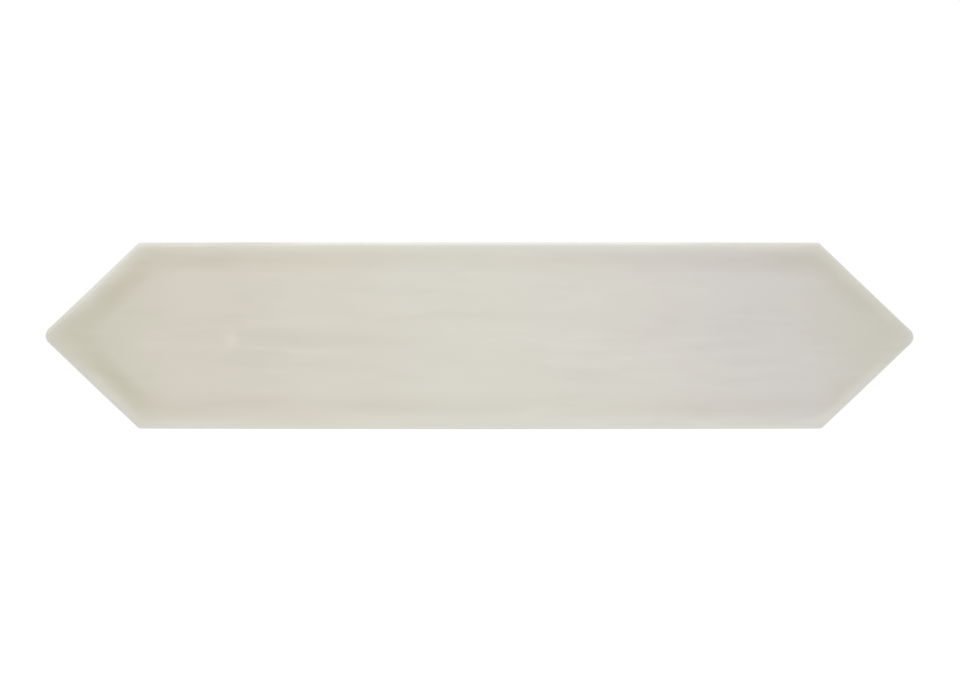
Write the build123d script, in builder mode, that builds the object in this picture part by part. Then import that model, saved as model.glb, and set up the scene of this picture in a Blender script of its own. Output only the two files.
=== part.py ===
"""Picket wall tile: one pressed and fired ceramic tile, an elongated hexagon with a point at each short end.

It lies on its back with the glazed face up.  The face has a flat field, a soft hollow just inside the edge where
the glaze pools, a low rim, and a rounded edge down to square sides.  The back is flat, with shallow keying grooves
for the adhesive.  Millimetres, +X along the length, +Z out of the glazed face, origin at the middle of the back.
"""

import os
from math import radians, sin, tan

from build123d import *

# --- overall size -----------------------------------------------------------
LENGTH = 300.0  # tip to tip, over the rounded tips
WIDTH = 64.8  # across the two long sides
THICKNESS = 9.0  # back to the flat field
POINT_ANGLE = 43.4  # each sloping side to the long axis, degrees

# --- outline corners --------------------------------------------------------
TIP_R = 3.5  # rounding of the two points
SHOULDER_R = 2.4  # rounding where the sloping sides meet the long ones

# --- edge section -----------------------------------------------------------
EDGE_R = 1.4  # glazed edge, face to side
BACK_EDGE = 0.6  # eased arris round the back

# --- hollow inside the rim --------------------------------------------------
HOLLOW_IN = 7.0  # lowest line of the hollow, in from the outline
HOLLOW_OUTER = 4.4  # its reach outwards, to the rim
HOLLOW_INNER = 7.0  # its reach inwards, to the flat field
HOLLOW_DEPTH = 0.30
HOLLOW_TIP_R = 9.0  # turn of its lowest line at the points
HOLLOW_SHOULDER_R = 14.0  # turn of its lowest line at the shoulders

# --- keying grooves of the back ---------------------------------------------
KEY_DEPTH = 0.6
KEY_WIDTH = 3.0
KEY_PITCH = 6.0
KEY_COUNT = 9
KEY_MARGIN = 5.0  # plain border round the grooves
KEY_DRAFT = 15.0  # taper of the groove walls, degrees

# --- derived ----------------------------------------------------------------
A = radians(POINT_ANGLE)
HALF_W = WIDTH / 2
SHARP_TIP = LENGTH / 2 + TIP_R * (1 / sin(A) - 1)  # where the sloping sides would meet


def picket_points(inset):
    """Corners of the outline moved inwards by inset, from the right tip, anticlockwise."""
    tip = SHARP_TIP - inset / sin(A)
    half = HALF_W - inset
    shoulder = tip - half / tan(A)
    return [
        (tip, 0),
        (shoulder, half),
        (-shoulder, half),
        (-tip, 0),
        (-shoulder, -half),
        (shoulder, -half),
    ]


# The hollow's lowest line, a picket shape inside the outline with rounded turns.
with BuildLine() as hollow_line:
    FilletPolyline(
        *[(x, y, THICKNESS) for x, y in picket_points(HOLLOW_IN)],
        radius=[
            HOLLOW_TIP_R,
            HOLLOW_SHOULDER_R,
            HOLLOW_SHOULDER_R,
            HOLLOW_TIP_R,
            HOLLOW_SHOULDER_R,
            HOLLOW_SHOULDER_R,
        ],
        close=True,
    )
hollow_path = hollow_line.wires()[0]

# Its section, square to the start of that line: x is across the rim towards the middle, y is out of the face.
# The dip leaves both the rim and the field level, so the glazed face has no crease.
start, along = hollow_path @ 0, hollow_path % 0
across = Vector(0, 0, 1).cross(along)
with BuildSketch(Plane(origin=start, x_dir=across, z_dir=across.cross(Vector(0, 0, 1)))) as hollow_section:
    with BuildLine():
        dip = Spline(
            (-HOLLOW_OUTER, 0),
            (0, -HOLLOW_DEPTH),
            (HOLLOW_INNER, 0),
            tangents=[(1, 0), (1, 0)],
        )
        Polyline(dip @ 1, (HOLLOW_INNER, 1), (-HOLLOW_OUTER, 1), dip @ 0)
    make_face()

with BuildPart() as tile:
    # pressed slab
    with BuildSketch() as outline:
        Polygon(*picket_points(0), align=None)
        tips = outline.vertices().filter_by(lambda v: abs(v.Y) < 0.01)
        fillet(tips, TIP_R)
        shoulders = outline.vertices().filter_by(lambda v: abs(v.Y) > HALF_W - 0.01)
        fillet(shoulders, SHOULDER_R)
    extrude(amount=THICKNESS)

    # rounded glazed edge, eased arris on the back
    fillet(tile.faces().sort_by(Axis.Z)[-1].outer_wire().edges(), EDGE_R)
    chamfer(tile.faces().sort_by(Axis.Z)[0].outer_wire().edges(), BACK_EDGE)

    # hollow round the face
    sweep(hollow_section.sketch, path=hollow_path, mode=Mode.SUBTRACT)

    # keying grooves, cut up into the back
    with BuildSketch(Plane.XY) as keys:
        with GridLocations(0, KEY_PITCH, 1, KEY_COUNT):
            Rectangle(LENGTH, KEY_WIDTH)
        Polygon(*picket_points(KEY_MARGIN), align=None, mode=Mode.INTERSECT)
    extrude(amount=KEY_DEPTH, taper=KEY_DRAFT, mode=Mode.SUBTRACT)

tile.part.label = "picket_tile"
os.makedirs("parts", exist_ok=True)
export_step(tile.part, "parts/picket_tile.step")

box = tile.part.bounding_box()
print("size", box.size, "lowest", box.min.Z, "volume mm3", round(tile.part.volume), "solids", len(tile.part.solids()))
print("faces", len(tile.part.faces()), "valid", tile.part.is_valid)
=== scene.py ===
"""Looks of the picket wall tile: a pressed ceramic body under a brushed ivory glaze, lying face up on a white table."""

from math import cos, pi, radians, sin, tan

import bpy
import numpy as np
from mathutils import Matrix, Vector, noise
from mathutils.geometry import delaunay_2d_cdt


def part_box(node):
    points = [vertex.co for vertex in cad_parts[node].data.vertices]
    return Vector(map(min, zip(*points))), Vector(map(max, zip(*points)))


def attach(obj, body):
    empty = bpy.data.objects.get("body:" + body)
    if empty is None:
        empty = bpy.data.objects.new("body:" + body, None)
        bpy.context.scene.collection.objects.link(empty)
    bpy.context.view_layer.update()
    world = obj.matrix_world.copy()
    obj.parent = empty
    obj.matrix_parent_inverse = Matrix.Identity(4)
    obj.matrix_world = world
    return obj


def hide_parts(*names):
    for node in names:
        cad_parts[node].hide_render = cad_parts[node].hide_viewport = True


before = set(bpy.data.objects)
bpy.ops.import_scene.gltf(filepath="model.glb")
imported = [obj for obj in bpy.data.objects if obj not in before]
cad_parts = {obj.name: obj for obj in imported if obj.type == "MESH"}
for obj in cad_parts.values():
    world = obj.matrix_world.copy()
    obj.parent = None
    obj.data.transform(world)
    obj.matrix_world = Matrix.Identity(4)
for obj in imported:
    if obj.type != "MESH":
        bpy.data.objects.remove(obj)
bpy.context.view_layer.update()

MM = 0.001

# =====================================================================================================================
# Sizes, in millimetres.  The outer sizes are the frame's own.
# =====================================================================================================================
low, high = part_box("picket_tile")
LENGTH = (high.x - low.x) / MM
WIDTH = (high.y - low.y) / MM
THICK = (high.z - low.z) / MM
HALF = WIDTH / 2
ANGLE = radians(43.4)  # each sloping side to the long axis
TIP_R = 3.5
SHOULDER_R = 1.8
SHARP = LENGTH / 2 + TIP_R * (1 / sin(ANGLE) - 1)  # where the sloping sides would meet

ARRIS = 0.6  # eased arris round the back
GLAZE_STEP = 0.14  # how far the glaze on the sides stands proud of the bare body

HOLLOW_DEPTH = 0.30  # where the glaze pools, inside the rim
HOLLOW_OUT, HOLLOW_MID, HOLLOW_IN = 2.6, 7.0, 14.0

KEY_DEPTH, KEY_WIDTH, KEY_PITCH, KEY_COUNT, KEY_MARGIN = 0.6, 3.0, 6.0, 9, 5.0


# =====================================================================================================================
# Shape of the face
# =====================================================================================================================
def smooth_min(a, b, k):
    h = np.maximum(k - np.abs(a - b), 0.0) / k
    return np.minimum(a, b) - h * h * h * k / 6


def smooth_step(a, b, v):
    t = np.clip((v - a) / (b - a), 0.0, 1.0)
    return t * t * (3 - 2 * t)


def rolled_edge(steps=22):
    """The glazed edge, from the side to the face: how far in, how far below the face, and the share of the turn made.
    It turns tightly off the side and then ever more slowly, so it flows into the face without a crease."""
    turn = np.linspace(pi / 2, 0, 401)
    radius = np.interp(-np.degrees(turn), (-90, -62, -42, -30, -15, 0), (0.9, 0.9, 1.5, 1.9, 3.0, 5.6))
    step = np.diff(turn)
    mean = (turn[1:] + turn[:-1]) / 2
    r = (radius[1:] + radius[:-1]) / 2
    inward = np.concatenate(([0], np.cumsum(-r * np.cos(mean) * step)))
    upward = np.concatenate(([0], np.cumsum(-r * np.sin(mean) * step)))
    length = np.concatenate(([0], np.cumsum(-r * step)))
    at = np.linspace(0, 1, steps + 1) ** 1.25 * length[-1]
    return [
        (float(np.interp(a, length, inward)), float(upward[-1] - np.interp(a, length, upward)), float(a / length[-1]))
        for a in at
    ]


TIP_TURN, SHOULDER_TURN = 7.0, 4.0  # how softly lines inside the outline turn at the points and shoulders


def inset_at(x, y):
    """How far a point is in from the outline, with the turns at the points and shoulders rounded off."""
    reach = (SHARP - np.abs(x)) * sin(ANGLE)
    ends = smooth_min(reach - y * cos(ANGLE), reach + y * cos(ANGLE), TIP_TURN)
    return smooth_min(ends, HALF - np.abs(y), SHOULDER_TURN)


def layered(x, y, along, across, seed, octaves=3):
    """Smooth noise from about -1 to 1, drawn out along the tile."""
    out = np.zeros(len(x))
    size, total = 1.0, 0.0
    for k in range(octaves):
        f = 2.0**k
        out += size * np.array(
            [noise.noise(Vector((f * a / along, f * b / across, seed + 7.3 * k))) for a, b in zip(x, y)]
        )
        total += size
        size *= 0.5
    return out / total


def hollow(x, y):
    """Depth of the hollow inside the rim: deepest along the sloping sides, faint along the long ones."""
    d = inset_at(x, y)
    dip = smooth_step(HOLLOW_OUT, HOLLOW_MID, d) * (1 - smooth_step(HOLLOW_MID, HOLLOW_IN, d))
    reach = (SHARP - np.abs(x)) * sin(ANGLE)
    ends = smooth_step(-6.0, 8.0, (HALF - np.abs(y)) - (reach - np.abs(y) * cos(ANGLE)))
    return HOLLOW_DEPTH * dip * (0.55 + 0.45 * ends)


def swell(x, y):
    """Slow swells and drag marks of the glaze, as a depth below the highest the face could be."""
    slow = layered(x, y, 85.0, 30.0, 3.1, 2)
    drag = layered(x, y, 46.0, 7.0, 11.7, 2)
    return 0.075 * (1 + slow) + 0.012 * (1 + drag)


def draw_in(x, y, ny):
    """How far the fired outline stands inside the nominal one: the long sides are a touch full at mid-length."""
    bow = 0.22 * np.minimum(np.abs(x) / 118.0, 1.0) ** 2 * smooth_step(0.8, 1.0, np.abs(ny))
    return bow + 0.02 * (1 + layered(x, y, 34.0, 34.0, 23.9, 2))


def glaze_line(x, y):
    """Height on the side where the glaze stops, as unevenly as it ran."""
    run = layered(x, y, 15.0, 15.0, 41.3, 3)
    return np.clip(5.1 - 1.9 * run, 3.6, 6.4)


SKEW, DROP = 0.0075, 0.45  # the fired tile leans a trace, and its right point sits a touch low
DROP_FROM = 117.0
SPREAD, NARROW = 0.34, 0.17  # its lower shoulders stand a touch wide, its upper sloping sides a touch in


def fired(x, y):
    """A point of the regular shape where the firing left it."""
    fall = DROP * np.clip((x - DROP_FROM) / (LENGTH / 2 - DROP_FROM), 0.0, 1.0)
    wide = SPREAD * smooth_step(0.0, 24.0, -y) - NARROW * smooth_step(-1.0, 5.0, y) * (1 - 0.5 * smooth_step(14.0, 30.0, y))
    wide = wide * np.clip((np.abs(x) - 40.0) / 75.0, 0.0, 1.0) * np.sign(x)
    return x - SKEW * y + wide, y - fall


# =====================================================================================================================
# Mesh: rings of the outline from the back, up the sides, over the edge and in across the face
# =====================================================================================================================
N_TIP, N_SLOPE, N_SHOULDER, N_LONG = 8, 60, 8, 160


def ring(inset, tip_r, shoulder_r):
    """The outline moved inwards, anticlockwise from the right tip, and its outward normals."""
    turn = pi / 2 - ANGLE

    def centre(r):
        half = HALF - inset - r
        tip = SHARP - (inset + r) / sin(ANGLE)
        return tip, tip - half / tan(ANGLE), half

    quarter = []
    tip, _, _ = centre(tip_r)
    for i in range(N_TIP + 1):
        a = turn * i / N_TIP
        quarter.append((tip + tip_r * cos(a), tip_r * sin(a), cos(a), sin(a)))
    _, shoulder, half = centre(shoulder_r)
    start = np.array(quarter[-1][:2])
    stop = np.array((shoulder + shoulder_r * cos(turn), half + shoulder_r * sin(turn)))
    for i in range(1, N_SLOPE):
        p = start + (stop - start) * i / N_SLOPE
        quarter.append((p[0], p[1], cos(turn), sin(turn)))
    for i in range(N_SHOULDER + 1):
        a = turn + (pi / 2 - turn) * i / N_SHOULDER
        quarter.append((shoulder + shoulder_r * cos(a), half + shoulder_r * sin(a), cos(a), sin(a)))
    for i in range(1, N_LONG + 1):
        quarter.append((shoulder * (1 - i / N_LONG), half + shoulder_r, 0.0, 1.0))
    q = np.array(quarter)
    flip_x, flip_y = np.array((-1, 1, -1, 1)), np.array((1, -1, 1, -1))
    upper = np.concatenate((q, (q * flip_x)[-2::-1]))
    return np.concatenate((upper, (upper * flip_y)[-2:0:-1]))


def rounding(inset):
    """Corner radii of the ring at that inset: parallel over the edge, then easing out towards the middle."""
    slope = (HALF - inset) / sin(ANGLE)
    wider = max(inset - 2.0, 0.0) * 0.9
    tip_r = min(max(TIP_R - inset, 0.8) + wider, 0.45 * slope * tan(ANGLE))
    shoulder_r = min(max(SHOULDER_R - inset, 0.4) + wider, 0.25 * slope / tan(ANGLE / 2))
    return tip_r, shoulder_r


def level(inset, z, face):
    """One ring of vertices: at height z on the sides and edge, or following the face as face goes from 0 to 1."""
    r = ring(inset, *rounding(inset))
    x, y = r[:, 0], r[:, 1]
    ease = 1 - smooth_step(0.0, 9.0, np.full(len(x), inset))
    pull = draw_in(x, y, r[:, 3]) * ease
    x, y = x - r[:, 2] * pull, y - r[:, 3] * pull
    zz = np.full(len(x), z)
    if face > 0:
        zz = zz - face * (hollow(x, y) + swell(x, y))
    return np.stack((*fired(x, y), zz), axis=1)


LIP = ((-0.30, 1.0), (-0.16, 0.94), (-0.07, 0.70), (0.02, 0.30), (0.12, 0.08), (0.32, 0.0))  # of the glaze on the side:
# height from its line, and the share of the step still to go

outline = ring(0.0, TIP_R, SHOULDER_R)
line = glaze_line(outline[:, 0], outline[:, 1])
edge = rolled_edge()


def side(inset, z):
    """One ring of vertices on the side, at one height or at its own height for each vertex."""
    x, y, nx, ny = outline.T
    pull = draw_in(x, y, ny) + inset
    return np.stack((*fired(x - nx * pull, y - ny * pull), z + 0 * x), axis=1)


rings = []
for i in range(5):  # eased arris
    a = pi / 2 * i / 5
    rings.append(side(GLAZE_STEP + ARRIS * (1 - sin(a)), ARRIS * (1 - cos(a))))
for i in range(4):  # bare body
    rings.append(side(GLAZE_STEP, ARRIS + (line + LIP[0][0] - ARRIS) * i / 4))
for up, share in LIP:
    rings.append(side(GLAZE_STEP * share, line + up))
for i in (1, 2):  # glazed side
    start = line + LIP[-1][0]
    rings.append(side(0.0, start + (THICK - edge[0][1] - start) * i / 3))
steep = len(rings)
for inward, below, share in edge:
    rings.append(level(inward, THICK - below, float(smooth_step(0.0, 1.0, np.array(share)))))
    if inward < 0.45:
        steep = len(rings) - 1  # last ring that belongs to the sides when the surface is laid out flat
inset = edge[-1][0]
while inset < HALF - 2.8:  # face
    inset += 0.5 if inset < 15 else 0.75
    rings.append(level(inset, THICK, 1.0))

count = len(rings[0])
verts = [tuple(p) for r in rings for p in r]
above_line = np.concatenate([r[:, 2] - line for r in rings])  # how far each vertex is above the end of the glaze
faces = []
for k in range(len(rings) - 1):
    a, b = k * count, (k + 1) * count
    for i in range(count):
        j = (i + 1) % count
        faces.append((a + i, a + j, b + j, b + i))
ring_faces = len(faces)
last, mid = (len(rings) - 1) * count, count // 2  # close the slit along the middle of the face
faces.append((last, last + 1, last + count - 1))
for i in range(1, mid - 1):
    faces.append((last + i, last + i + 1, last + count - i - 1, last + count - i))
faces.append((last + mid - 1, last + mid, last + mid + 1))
upper_faces = len(faces)


# ---------------------------------------------------------------------------------------------------------------------
# Back: flat land with keying grooves
# ---------------------------------------------------------------------------------------------------------------------
def groove_outline(y0, y1):
    """A groove between two lines along the tile, ending at the border of the back, anticlockwise from above."""
    tip = SHARP - KEY_MARGIN / sin(ANGLE)

    def end(y):
        return tip - abs(y) / tan(ANGLE)

    right = [(end(y0), y0)] + ([(tip, 0.0)] if y0 < 0 < y1 else []) + [(end(y1), y1)]
    return right + [(-x, y) for x, y in reversed(right)]


def drawn_in(points, by):
    """A convex outline with every side moved inwards."""
    n, out = len(points), []
    for i in range(n):
        a, b, c = (np.array(points[(i + k) % n]) for k in (-1, 0, 1))
        d0, d1 = (b - a) / np.linalg.norm(b - a), (c - b) / np.linalg.norm(c - b)
        n0, n1 = np.array((-d0[1], d0[0])), np.array((-d1[1], d1[0]))
        out.append(tuple(b + by * (n0 + n1) / (1 + float(n0 @ n1))))
    return out


GROOVE_SECTION = ((-0.16, 0.0), (-0.06, 0.03), (0.0, 0.10), (0.12, 0.47), (0.18, 0.56), (0.30, KEY_DEPTH))
land_points = [Vector(p[:2]) for p in rings[0]]
land_edges = [(i, (i + 1) % count) for i in range(count)]
land_index = list(range(count))
mouths = []
for k in range(KEY_COUNT):
    y = (k - (KEY_COUNT - 1) / 2) * KEY_PITCH
    groove = groove_outline(y - KEY_WIDTH / 2, y + KEY_WIDTH / 2)
    loops = []
    for by, z in GROOVE_SECTION:
        loops.append(list(range(len(verts), len(verts) + len(groove))))
        verts.extend((*(float(c) for c in fired(px, py)), z) for px, py in drawn_in(groove, by))
    n = len(groove)
    for a, b in zip(loops, loops[1:]):
        faces.extend((a[i], b[i], b[(i + 1) % n], a[(i + 1) % n]) for i in range(n))
    faces.append(tuple(reversed(loops[-1])))
    first = len(land_points)
    land_points += [Vector(verts[v][:2]) for v in loops[0]]
    land_edges += [(first + i, first + (i + 1) % n) for i in range(n)]
    land_index += loops[0]
    mouths.append((y, [verts[v][:2] for v in loops[0]]))


def inside(point, outline):
    return all(
        (b[0] - a[0]) * (point[1] - a[1]) - (b[1] - a[1]) * (point[0] - a[0]) > 0
        for a, b in zip(outline, outline[1:] + outline[:1])
    )


made = delaunay_2d_cdt(land_points, land_edges, [], 1, 1e-5)
origin = [o[0] for o in made[3]]
for tri in made[2]:
    middle = sum((made[0][v] for v in tri), Vector((0, 0))) / 3
    if not any(abs(middle.y - y) < KEY_WIDTH and inside(middle, m) for y, m in mouths):
        faces.append(tuple(land_index[origin[v]] for v in reversed(tri)))

mesh = bpy.data.meshes.new("picket_tile_glazed")
mesh.from_pydata([(x * MM, y * MM, z * MM) for x, y, z in verts], [], faces)
mesh.validate()
mesh.update()
mesh.polygons.foreach_set("use_smooth", [True] * len(mesh.polygons))
mesh.set_sharp_from_angle(angle=radians(38))

height = np.full(len(verts), -5.0)
height[: len(above_line)] = above_line
mesh.attributes.new("above_glaze_line", "FLOAT", "POINT").data.foreach_set("value", height.astype(np.float32))


# ---------------------------------------------------------------------------------------------------------------------
# The surface laid out flat: face, the two halves of the side from point to point, back
# ---------------------------------------------------------------------------------------------------------------------
def flat_place(x, y, v0, v1):
    return 0.008 + 0.984 * (x / LENGTH + 0.5), v0 + (v1 - v0) * (y / WIDTH + 0.5)


step = np.linalg.norm(np.roll(outline[:, :2], -1, axis=0) - outline[:, :2], axis=1)
run = np.concatenate(([0], np.cumsum(step)))
climb = np.cumsum([0] + [float(np.linalg.norm(b - a, axis=1).mean()) for a, b in zip(rings, rings[1 : steep + 1])])
places = []
for f, face in enumerate(faces):
    if f < ring_faces and f // count < steep:
        i = f % count
        first, v0 = (0, 0.40) if i < mid else (mid, 0.30)
        for c in face:
            at = c % count if c % count or i == 0 else count
            u = (run[at] - run[first]) / (run[mid] - run[0] if first == 0 else run[count] - run[mid])
            places.append((0.008 + 0.984 * u, v0 + 0.085 * climb[c // count] / climb[-1]))
    else:
        span = (0.50, 0.992) if f < upper_faces else (0.285, 0.01)
        places.extend(flat_place(*verts[c][:2], *span) for c in face)
mesh.uv_layers.new(name="OFBake").uv.foreach_set("vector", np.array(places, dtype=np.float32).ravel())
tile = bpy.data.objects.new("picket_tile_glazed", mesh)
bpy.context.collection.objects.link(tile)


# =====================================================================================================================
# Material
# =====================================================================================================================
def linear(r, g, b):
    """A colour given as screen values from 0 to 255."""
    return tuple(c / 12.92 if c <= 0.04045 else ((c + 0.055) / 1.055) ** 2.4 for c in (r / 255, g / 255, b / 255))


class Graph:
    """Short names for the shader nodes that the material is made of."""

    def __init__(self, tree):
        self.tree = tree

    def put(self, socket, value):
        if isinstance(value, bpy.types.NodeSocket):
            self.tree.links.new(value, socket)
        elif isinstance(value, (tuple, list)) and len(value) == 3 and socket.type == "RGBA":
            socket.default_value = (*value, 1.0)
        else:
            socket.default_value = value

    def node(self, kind, **settings):
        n = self.tree.nodes.new(kind)
        for k, v in settings.items():
            setattr(n, k, v)
        return n

    def math(self, operation, *values, clamp=False):
        n = self.node("ShaderNodeMath", operation=operation, use_clamp=clamp)
        for s, v in zip(n.inputs, values):
            self.put(s, v)
        return n.outputs[0]

    def add(self, *values):
        total = values[0]
        for v in values[1:]:
            total = self.math("ADD", total, v)
        return total

    def times(self, *values):
        total = values[0]
        for v in values[1:]:
            total = self.math("MULTIPLY", total, v)
        return total

    def span(self, value, a, b, c=0.0, d=1.0, smooth=True):
        n = self.node("ShaderNodeMapRange", interpolation_type="SMOOTHSTEP" if smooth else "LINEAR")
        for s, v in zip(n.inputs, (value, a, b, c, d)):
            self.put(s, v)
        return n.outputs[0]

    def mix(self, factor, a, b, blend="MIX"):
        n = self.node("ShaderNodeMix", data_type="RGBA", blend_type=blend)
        self.put(n.inputs[0], factor)
        self.put(n.inputs[6], a)
        self.put(n.inputs[7], b)
        return n.outputs[2]

    def blend(self, factor, a, b):
        n = self.node("ShaderNodeMix", data_type="FLOAT")
        self.put(n.inputs[0], factor)
        self.put(n.inputs[2], a)
        self.put(n.inputs[3], b)
        return n.outputs[0]

    def place(self, vector, location=(0, 0, 0), scale=(1, 1, 1), turn=0.0):
        """The vector in the frame of a patch at that place, of that size and turned by that angle in the face."""
        n = self.node("ShaderNodeMapping", vector_type="TEXTURE")
        self.put(n.inputs["Vector"], vector)
        n.inputs["Location"].default_value = location
        n.inputs["Rotation"].default_value = (0, 0, turn)
        n.inputs["Scale"].default_value = scale
        return n.outputs[0]

    def noise(self, vector, size, detail=2.0, rough=0.5, offset=(0, 0, 0), twist=0.0, colour=False):
        """Noise whose cells are about that size, one number or one for each axis."""
        size = size if isinstance(size, tuple) else (size,) * 3
        n = self.node("ShaderNodeTexNoise", noise_dimensions="3D", normalize=True)
        self.put(n.inputs["Vector"], self.place(vector, offset, size))
        n.inputs["Scale"].default_value = 1.0
        n.inputs["Detail"].default_value = detail
        n.inputs["Roughness"].default_value = rough
        n.inputs["Distortion"].default_value = twist
        return n.outputs[1 if colour else 0]

    def spot(self, vector, x, y, length, width, turn=0.0):
        """1 in the middle of a soft oval mark on the face, a half at half its length and width, 0 outside it."""
        n = self.node("ShaderNodeTexGradient", gradient_type="SPHERICAL")
        self.put(n.inputs[0], self.place(vector, (x, y, THICK), (length, width, 100.0), turn))
        return self.span(n.outputs[1], 0.0, 1.0)

    def mapped(self, vector, operation, value):
        n = self.node("ShaderNodeVectorMath", operation=operation)
        self.put(n.inputs[0], vector)
        self.put(n.inputs["Scale" if operation == "SCALE" else 1], value)
        return n.outputs[0]


def glaze_material():
    mat = bpy.data.materials.new("ivory_brushed_glaze")
    mat.use_nodes = True
    tree = mat.node_tree
    tree.nodes.clear()
    g = Graph(tree)
    out = g.node("ShaderNodeOutputMaterial")
    shader = g.node("ShaderNodeBsdfPrincipled")
    tree.links.new(shader.outputs[0], out.inputs[0])

    p = g.mapped(g.node("ShaderNodeTexCoord").outputs["Object"], "SCALE", 1000.0)  # millimetres
    xyz = g.node("ShaderNodeSeparateXYZ")
    g.put(xyz.inputs[0], p)
    x, y, z = xyz.outputs
    y = g.add(y, g.span(x, DROP_FROM, LENGTH / 2, 0.0, DROP, smooth=False))  # back to the regular shape
    x = g.math("MULTIPLY_ADD", y, SKEW, x)

    # how far in from the outline, as for the shape of the face, with a slow wander
    reach = g.times(g.math("SUBTRACT", SHARP, g.math("ABSOLUTE", x)), sin(ANGLE))
    lean = g.times(y, cos(ANGLE))
    ends = g.math("SMOOTH_MIN", g.math("SUBTRACT", reach, lean), g.add(reach, lean), TIP_TURN)
    sides = g.math("SUBTRACT", HALF, g.math("ABSOLUTE", y))
    inset = g.math("SMOOTH_MIN", ends, sides, SHOULDER_TURN)
    at_end = g.span(g.math("SUBTRACT", sides, ends), -4.0, 5.0)
    wander = g.math("SUBTRACT", g.noise(p, (24.0, 9.0, 60.0), 2.0), 0.5)
    inset_w = g.add(inset, g.times(wander, 3.0))

    # tone along the tile: warm at the left, lightest about the middle, cooler at the right; the lighter middle is
    # partly the glaze's own tone and partly painted light
    drift = g.math("SUBTRACT", g.noise(p, (70.0, 26.0, 60.0), 2.0, offset=(40, 10, 0)), 0.5)
    near = g.span(x, -60.0, 60.0, 0.0, 1.0)  # the right half
    along = g.add(g.times(x, 1 / LENGTH), g.times(drift, 0.14), 0.5)
    along = g.math("MULTIPLY_ADD", g.times(near, y), 0.0016, along)
    ramp = g.node("ShaderNodeValToRGB")
    ramp.color_ramp.interpolation = "EASE"
    tones = (
        (0.04, linear(202, 199, 183)),
        (0.19, linear(211, 206, 193)),
        (0.33, linear(215, 211, 198)),
        (0.48, linear(216, 213, 202)),
        (0.62, linear(215.2, 212, 202.5)),
        (0.84, linear(208, 204, 199)),
        (0.98, linear(202, 199, 188)),
    )
    ramp.color_ramp.elements[0].position, ramp.color_ramp.elements[1].position = tones[0][0], tones[-1][0]
    for at, _ in tones[1:-1]:
        ramp.color_ramp.elements.new(at)
    for e, (_, c) in zip(ramp.color_ramp.elements, tones):
        e.color = (*c, 1.0)
    g.put(ramp.inputs[0], along)
    base = ramp.outputs[0]

    # brush drag: short soft streaks in patches, and a few strokes that stand out
    shake = g.mapped(g.noise(p, (22.0, 9.0, 60.0), 2.0, colour=True), "SUBTRACT", (0.5, 0.5, 0.5))
    q = g.mapped(p, "ADD", g.mapped(shake, "MULTIPLY", (16.0, 2.2, 0.0)))
    patchy = g.span(g.noise(p, (46.0, 15.0, 60.0), 2.0, offset=(21, 4, 0)), 0.42, 0.62, 0.25, 1.0)
    streaks = g.add(
        g.times(g.math("SUBTRACT", g.noise(q, (24.0, 3.4, 60.0), 2.0, 0.5), 0.5), patchy, 0.118),
        g.times(g.math("SUBTRACT", g.noise(q, (12.0, 1.5, 60.0), 2.0, 0.5, offset=(9, 5, 0)), 0.5), patchy, 0.050),
        g.times(g.math("SUBTRACT", g.noise(p, (52.0, 15.0, 60.0), 2.0, 0.5, offset=(3, 31, 0)), 0.5), 0.05),
    )
    strokes = (
        # x, y, length, width, turn, strength
        (-58.0, -1.0, 42.0, 4.4, -0.045, -0.050),
        (-61.0, 4.6, 26.0, 2.6, 0.05, 0.022),
        (-59.0, -5.0, 32.0, 2.0, -0.03, 0.030),
        (-68.0, -9.2, 52.0, 3.4, -0.07, -0.030),
        (2.0, 6.8, 36.0, 3.0, 0.0, -0.026),
        (6.0, 1.8, 20.0, 1.7, 0.0, 0.016),
        (39.0, -13.8, 14.0, 3.0, 0.03, -0.022),
        (-27.0, -14.0, 12.0, 2.0, 0.0, -0.014),
        (30.0, 11.6, 8.0, 2.4, 0.0, -0.012),
        (-76.0, -22.4, 34.0, 4.2, -0.03, -0.019),
        (-44.0, -23.6, 40.0, 4.0, -0.03, -0.021),
        (-12.0, -25.0, 34.0, 4.0, -0.02, -0.022),
        (82.0, 2.4, 14.0, 3.0, 0.0, -0.016),
        (90.0, -8.2, 8.0, 2.6, 0.0, -0.014),
        (66.0, 4.5, 5.0, 9.0, 0.2, -0.010),
        (-123.0, 17.6, 12.0, 2.6, 0.66, -0.014),
        (-126.0, -14.8, 12.0, 2.6, -0.80, -0.026),
        (-141.5, 0.9, 5.0, 4.0, 0.0, -0.016),
        (129.5, 14.0, 13.0, 2.2, -0.80, -0.014),
        (126.5, -18.2, 9.0, 2.2, 0.60, -0.016),
        (139.0, 0.6, 8.0, 5.0, 0.0, -0.014),
        (-112.0, 9.0, 7.0, 2.2, 0.0, -0.018),
        (-109.0, 2.2, 8.0, 1.8, 0.0, -0.014),
        (-114.0, -13.6, 7.0, 2.4, 0.0, -0.022),
        (-113.0, 20.0, 15.0, 6.0, 0.7, -0.016),
        (112.0, 20.5, 15.0, 6.0, -0.7, -0.006),
        (18.0, -17.0, 62.0, 13.0, 0.0, -0.009),
    )
    marks = streaks
    for sx, sy, length, width, turn, strength in strokes:
        marks = g.math("MULTIPLY_ADD", g.spot(q, sx, sy, length, width, turn), strength, marks)
    for sx, sy, long, wide, strength in ((-85.5, -1.4, 4.0, 4.4, 0.055), (-10.0, 1.7, 3.4, 2.6, 0.03)):  # two small lighter spots
        marks = g.math("MULTIPLY_ADD", g.spot(p, sx, sy, long, wide), strength, marks)
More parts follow.
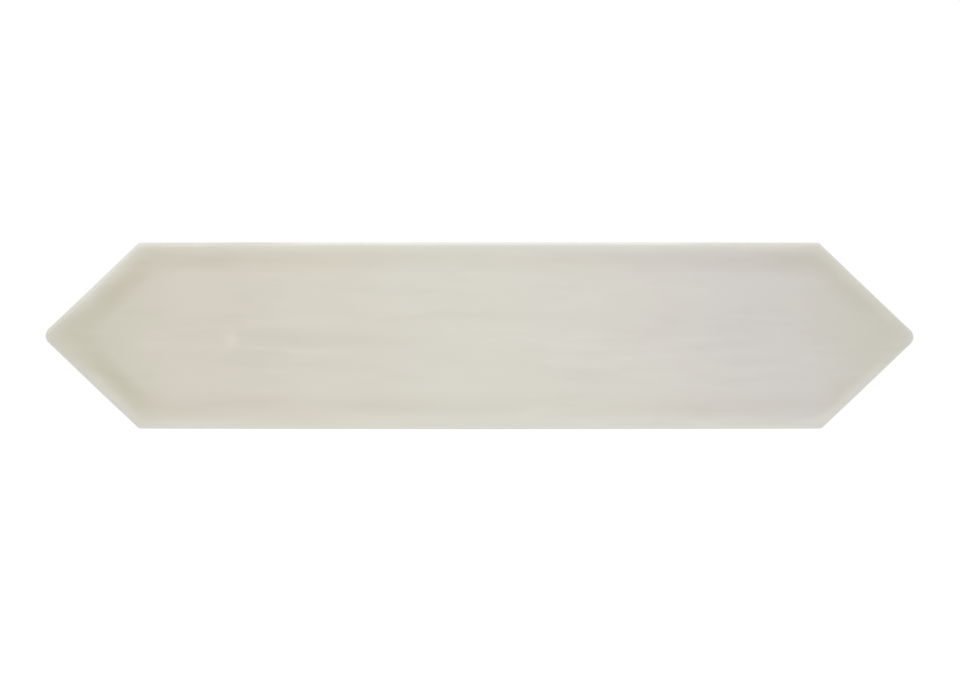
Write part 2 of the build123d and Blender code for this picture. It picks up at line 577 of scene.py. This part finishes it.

    # glaze pooled inside the rim, and a lighter rim: partly thin glaze, partly painted light
    shift = g.blend(near, g.span(y, -10.0, 8.0, -0.4, -1.2), g.span(y, -12.0, 6.0, 2.5, 0.9))
    pool_at = g.add(inset_w, g.times(shift, at_end))  # nearer to the edge at the right end
    pool_at = g.add(pool_at, g.times(g.math("SUBTRACT", 1.0, at_end), g.span(y, -10.0, 10.0, -1.1, 0.0)))
    pool = g.times(g.span(pool_at, 1.6, 6.2), g.span(pool_at, 6.8, 12.6, 1.0, 0.0))
    uneven = g.span(g.noise(p, (40.0, 14.0, 60.0), 2.0, offset=(17, 3, 0)), 0.3, 0.7, 0.75, 1.2)
    pool_ends = g.span(x, -60.0, 60.0, 0.66, 0.42)
    pool_ends = g.times(pool_ends, g.span(reach, 3.0, 20.0, 0.15, 1.0))
    pool_ends = g.times(pool_ends, g.math("SUBTRACT", 1.0, g.times(near, g.span(y, -12.0, 6.0, 0.35, 0.0))))
    pool_sides = g.span(y, -10.0, 10.0, 0.26, 0.40)
    pool_sides = g.times(pool_sides, g.span(g.math("ABSOLUTE", x), 40.0, 100.0, 1.0, 1.25))
    pool = g.times(pool, g.blend(at_end, pool_sides, pool_ends), uneven)
    painted_shade_upper_right = g.math("SUBTRACT", 1.0, g.times(near, at_end, g.span(y, -5.0, 10.0, 0.0, 0.5)))  # painted shade: least of the lighter rim at the upper right
    painted_light_upper_left = g.times(g.math("SUBTRACT", 1.0, near), at_end, g.span(y, -2.0, 8.0), g.span(y, 13.0, 21.0, 0.5, 0.0))  # painted light: most of the lighter rim at the upper left
    # lighter rim: partly thin glaze, partly painted light
    thin_glaze_and_painted_light = g.times(g.span(inset_w, 1.0, 4.5, 1.0, 0.0), g.span(reach, 2.0, 16.0, 0.25, 1.0), painted_shade_upper_right, g.add(1.0, painted_light_upper_left), 0.55)
    glaze = g.mix(pool, base, g.mix(1.0, base, (0.90, 0.885, 0.845), "MULTIPLY"))
    glaze = g.mix(thin_glaze_and_painted_light, glaze, linear(220, 218, 208))
    # the very edge: partly thin glaze, partly painted light, darker along the lower long side and lighter along the
    # upper one
    edge_tone_and_painted_light = g.mix(g.span(y, -20.0, 20.0), linear(210, 208, 203), linear(219, 217, 212))
    glaze = g.mix(g.times(g.span(inset, 0.0, 1.8, 0.6, 0.0), painted_shade_upper_right), glaze, edge_tone_and_painted_light)
    # painted highlight: a near-white line just inside the upper long edge
    painted_edge_highlight = g.times(g.span(g.add(inset, g.times(wander, 0.4)), 0.55, 1.15, 0.8, 0.0), g.span(z, THICK - 1.1, THICK - 0.8), g.span(y, 10.0, 20.0))
    painted_edge_highlight = g.times(painted_edge_highlight, g.span(g.math("ABSOLUTE", g.add(x, -4.0)), 58.0, 78.0, 1.0, 0.1))  # painted highlight, strongest about the middle of the upper long edge
    glaze = g.mix(painted_edge_highlight, glaze, linear(235, 233, 230))
    tone = g.node("ShaderNodeCombineColor")
    for s, w in zip(tone.inputs, (0.95, 1.0, 1.05)):
        g.put(s, g.math("MULTIPLY_ADD", marks, w, 1.0))
    glaze = g.mix(1.0, glaze, tone.outputs[0], "MULTIPLY")

    # the glaze runs over the edge and stops unevenly on the side; below it, and on the back, the body is bare
    above = g.node("ShaderNodeAttribute", attribute_name="above_glaze_line").outputs["Fac"]
    ragged = g.times(g.math("SUBTRACT", g.noise(p, 1.1, 2.0, 0.6), 0.5), 0.30)
    glazed = g.span(g.add(above, ragged), -0.06, 0.06)
    fringe = g.span(above, 0.0, 1.3, 1.0, 0.0)
    glaze = g.mix(g.times(fringe, 0.5), glaze, linear(224, 221, 212))
    grain = g.noise(p, 0.55, 3.0, 0.6)
    cloud = g.noise(p, 11.0, 3.0, 0.55)
    body = g.mix(cloud, linear(207, 198, 183), linear(217, 210, 197))
    body = g.mix(g.span(grain, 0.60, 0.78, 0.0, 0.4), body, linear(180, 168, 150))
    g.put(shader.inputs["Base Color"], g.mix(glazed, body, glaze))

    # gloss
    sheen = g.span(g.noise(q, (26.0, 6.0, 60.0), 2.0, offset=(2, 9, 0)), 0.3, 0.7, 0.09, 0.16)
    g.put(shader.inputs["Roughness"], g.blend(glazed, g.span(grain, 0.3, 0.7, 0.82, 0.95), sheen))
    shader.inputs["IOR"].default_value = 1.5

    # fine relief, in millimetres: drag marks and a faint orange peel in the glaze, grit in the body
    peel = g.add(
        g.times(g.noise(q, (16.0, 1.9, 60.0), 2.0, offset=(7, 1, 0)), 0.010),
        g.times(g.noise(p, 2.3, 2.0), 0.006),
    )
    grit = g.add(g.times(grain, 0.05), g.times(g.noise(p, 2.6, 3.0, 0.6), 0.05))
    bump = g.node("ShaderNodeBump")
    bump.inputs["Strength"].default_value = 1.0
    bump.inputs["Distance"].default_value = MM
    g.put(bump.inputs["Height"], g.blend(glazed, grit, peel))
    g.put(shader.inputs["Normal"], bump.outputs[0])
    return mat


tile.data.materials.append(glaze_material())
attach(tile, "root")
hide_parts("picket_tile")

# =====================================================================================================================
# Table, light and camera
# =====================================================================================================================
table_mat = bpy.data.materials.new("white_table")
table_mat.use_nodes = True
table_shader = table_mat.node_tree.nodes["Principled BSDF"]
table_shader.inputs["Base Color"].default_value = (0.05, 0.05, 0.05, 1.0)
table_shader.inputs["Roughness"].default_value = 0.9
table_shader.inputs["Emission Color"].default_value = (1.0, 1.0, 1.0, 1.0)
table_shader.inputs["Emission Strength"].default_value = 0.975  # lit from within, so nothing throws a shadow on it
table_mesh = bpy.data.meshes.new("table")
table_mesh.from_pydata([(-6, -6, 0), (6, -6, 0), (6, 6, 0), (-6, 6, 0)], [], [(0, 1, 2, 3)])
table_mesh.materials.append(table_mat)
table = bpy.data.objects.new("table", table_mesh)
bpy.context.collection.objects.link(table)

scene = bpy.context.scene
world = bpy.data.worlds.new("studio")
world.use_nodes = True
scene.world = world
room = Graph(world.node_tree)
world.node_tree.nodes.clear()
up = room.node("ShaderNodeSeparateXYZ")
room.put(up.inputs[0], room.node("ShaderNodeTexCoord").outputs["Generated"])
sky = room.node("ShaderNodeBackground")
room.put(sky.inputs["Color"], room.mix(room.span(up.outputs[2], 0.2, 1.0), (1.0, 1.0, 1.0), (0.88, 0.88, 0.88)))
horizon = room.span(room.math("ABSOLUTE", up.outputs[2]), 0.02, 0.16, 0.22, 0.0)
room.put(sky.inputs["Strength"], room.add(0.875, horizon))
world_out = room.node("ShaderNodeOutputWorld")
room.put(world_out.inputs[0], sky.outputs[0])


def softbox(name, place, aim, width, height, power):
    light = bpy.data.lights.new(name, "AREA")
    light.shape = "RECTANGLE"
    light.size, light.size_y = width, height
    light.energy = power
    ob = bpy.data.objects.new(name, light)
    ob.location = place
    ob.rotation_euler = (Vector(aim) - Vector(place)).to_track_quat("-Z", "Y").to_euler()
    ob.visible_camera = False
    bpy.context.collection.objects.link(ob)
    return ob


softbox("key", (-0.5, 1.0, 1.4), (0, 0, 0), 1.6, 0.9, 4.75)
softbox("fill", (0.3, -1.2, 1.0), (0, 0, 0), 1.8, 0.7, 3.35)
softbox("low", (-0.25, 1.3, 0.2), (0, 0, 0), 1.6, 0.25, 2.9).visible_glossy = False  # softens the far edge, not mirrored

camera_data = bpy.data.cameras.new("camera")
camera_data.lens = 100.0
camera_data.sensor_width = 36.0
camera_data.clip_start, camera_data.clip_end = 0.01, 50.0
camera = bpy.data.objects.new("camera", camera_data)
camera.location = (0.00019, -0.00136, 0.0078 + 0.9214)
bpy.context.collection.objects.link(camera)
scene.camera = camera

scene.view_settings.view_transform = "Standard"
scene.view_settings.look = "None"
